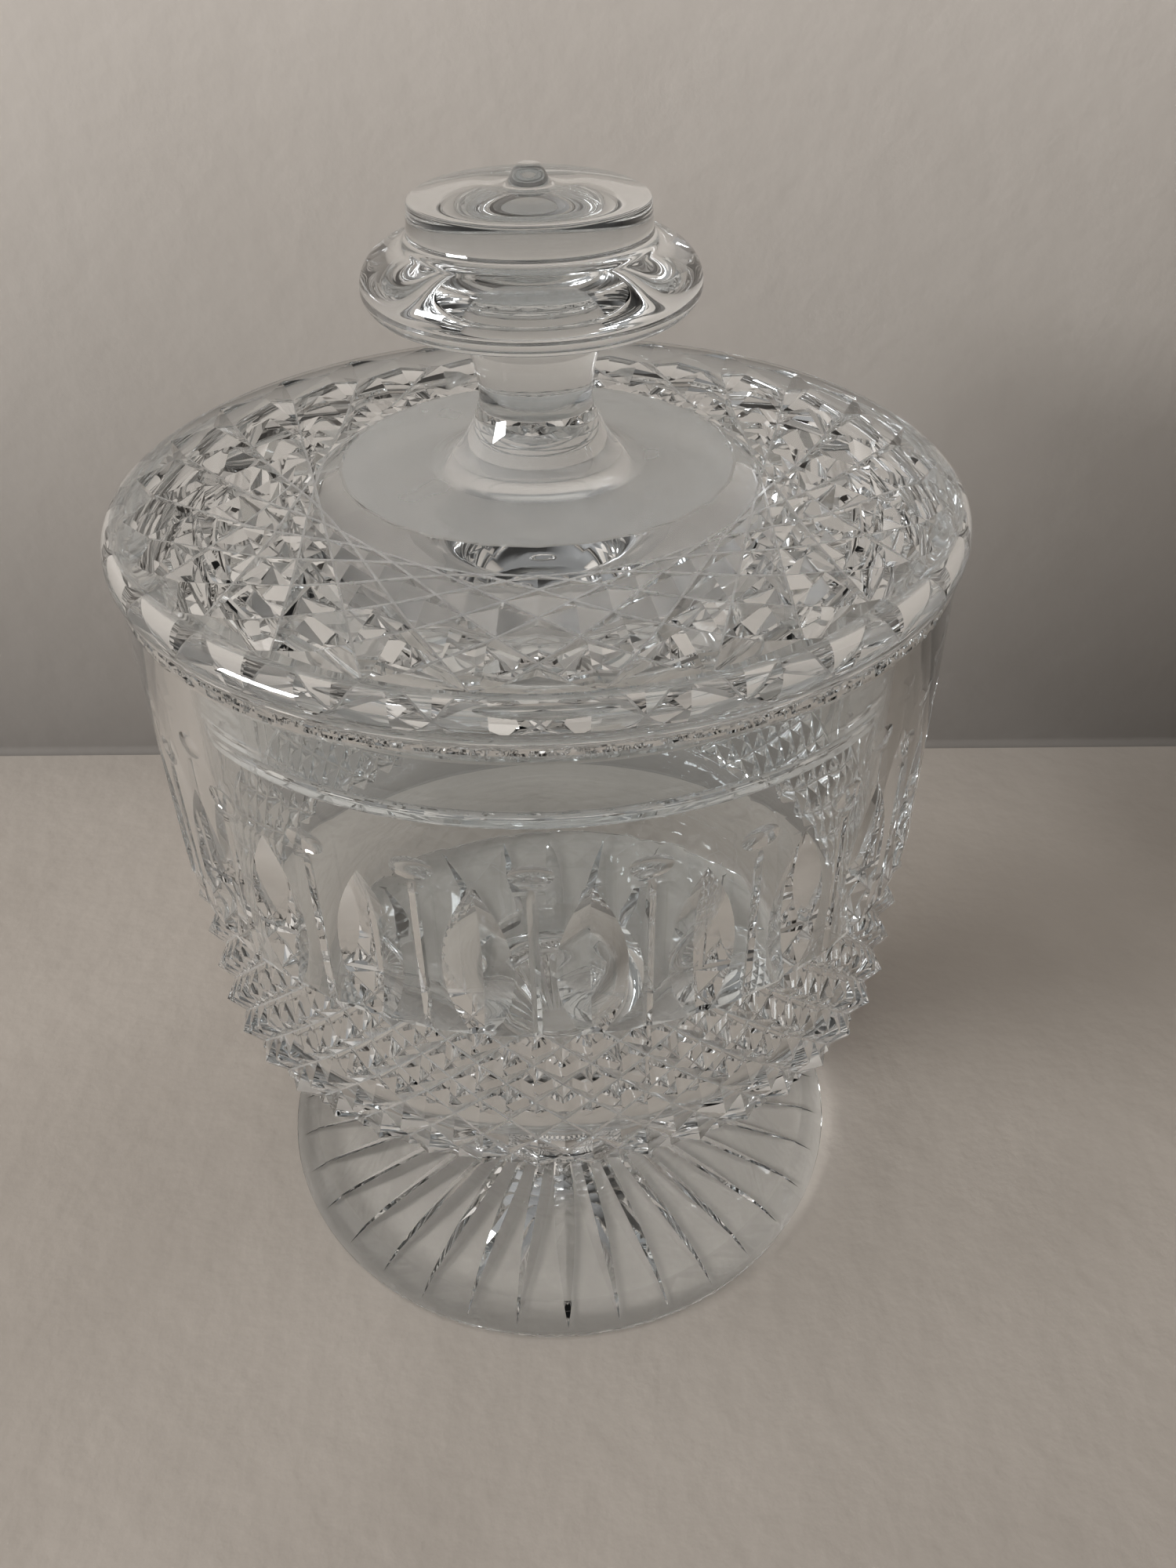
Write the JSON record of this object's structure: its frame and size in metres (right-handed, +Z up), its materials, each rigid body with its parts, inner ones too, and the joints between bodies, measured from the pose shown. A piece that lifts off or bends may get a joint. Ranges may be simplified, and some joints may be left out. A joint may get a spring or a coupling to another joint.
{
  "type": "candy box",
  "caption": "Round footed candy box in clear cut crystal, with bands of diamonds and lancets and a loose star-cut lid that lifts off by a ringed knob.",
  "frame": {"origin": "centre of the foot's underside, on the table", "axes": "+Z up along the box's axis; -Y through a line cut on the bowl, towards the viewer; +X to the right"},
  "size_m": [0.12, 0.12, 0.1768],
  "materials": {
    "crystal": "polished"
  },
  "bodies": {
    "box": {"foot": "crystal", "stem": "crystal", "bowl": "crystal"},
    "cover": {"lid": "crystal", "neck": "crystal", "knob": "crystal"}
  },
  "joints": [
    {"name": "lid_lift", "type": "slide", "parent": "box", "child": "cover", "axis": [0, 0, 1], "range_m": [0, 0.06]}
  ]
}
